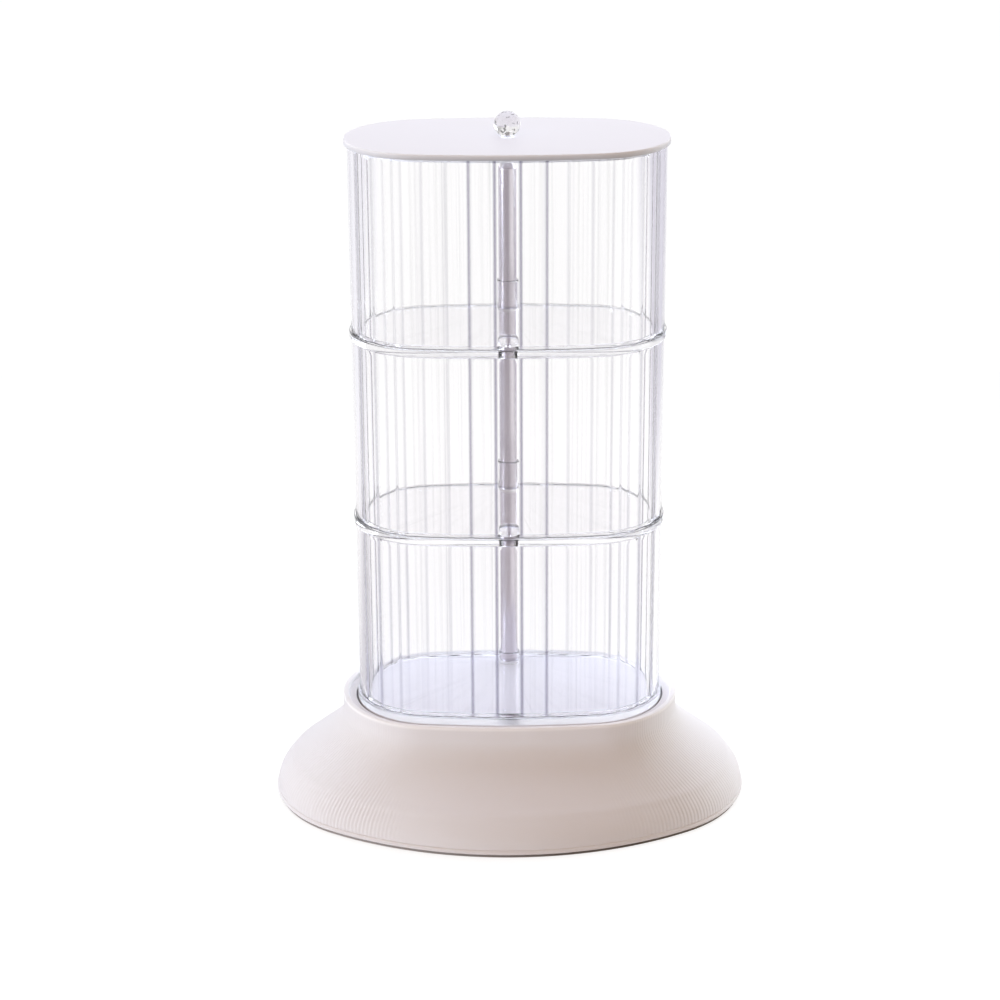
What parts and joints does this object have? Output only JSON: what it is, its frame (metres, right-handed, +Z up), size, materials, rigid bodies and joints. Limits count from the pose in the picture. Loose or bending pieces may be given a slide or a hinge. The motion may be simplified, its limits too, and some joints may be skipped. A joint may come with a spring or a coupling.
{
  "type": "tiered swing-tray organiser",
  "caption": "Tall oval organiser: three clear fluted trays on a polished post at the back, thin white lid with a clear ball knob, flared white base; the upper trays swing out by their pulls.",
  "frame": {"origin": "middle of the base on the surface that the feet stand on", "axes": "+Z up along the post, +X along the long side, the front with the pulls faces -Y"},
  "size_m": [0.2702, 0.1836, 0.3976],
  "materials": {
    "base_white": "satin with fine radial lines",
    "lid_white": "smooth satin",
    "clear_acrylic": "polished clear",
    "clear_knob": "polished clear",
    "post_steel": "polished",
    "fastener_steel": "bright zinc",
    "foot_rubber": "matte"
  },
  "bodies": {
    "base": {"base_shell": "base_white", "base_bottom_plate": "base_white", "base_feet": "foot_rubber", "base_screws": "fastener_steel", "base_washer": "fastener_steel", "base_nut": "fastener_steel", "tie_rod": "fastener_steel", "post_tube": "post_steel", "post_cap": "post_steel", "bottom_tray_floor": "clear_acrylic", "bottom_tray_wall": "clear_acrylic", "bottom_tray_hub": "clear_acrylic"},
    "tray_middle": {"middle_tray_floor": "clear_acrylic", "middle_tray_wall": "clear_acrylic", "middle_tray_hub": "clear_acrylic", "middle_tray_pull": "clear_knob"},
    "tray_top": {"top_tray_floor": "clear_acrylic", "top_tray_wall": "clear_acrylic", "top_tray_hub": "clear_acrylic", "top_tray_pull": "clear_knob"},
    "lid": {"lid_plate": "lid_white", "lid_knob": "clear_knob", "knob_screw": "fastener_steel", "knob_washer": "fastener_steel"}
  },
  "joints": [
    {"name": "middle_tray_turn", "type": "hinge", "parent": "base", "child": "tray_middle", "pos_m": [0, 0.035, 0.166], "axis": [0, 0, 1], "continuous": true},
    {"name": "top_tray_turn", "type": "hinge", "parent": "base", "child": "tray_top", "pos_m": [0, 0.035, 0.2735], "axis": [0, 0, 1], "continuous": true},
    {"name": "lid_lift", "type": "slide", "parent": "tray_top", "child": "lid", "axis": [0, 0, 1], "range_m": [0, 0.1]}
  ]
}
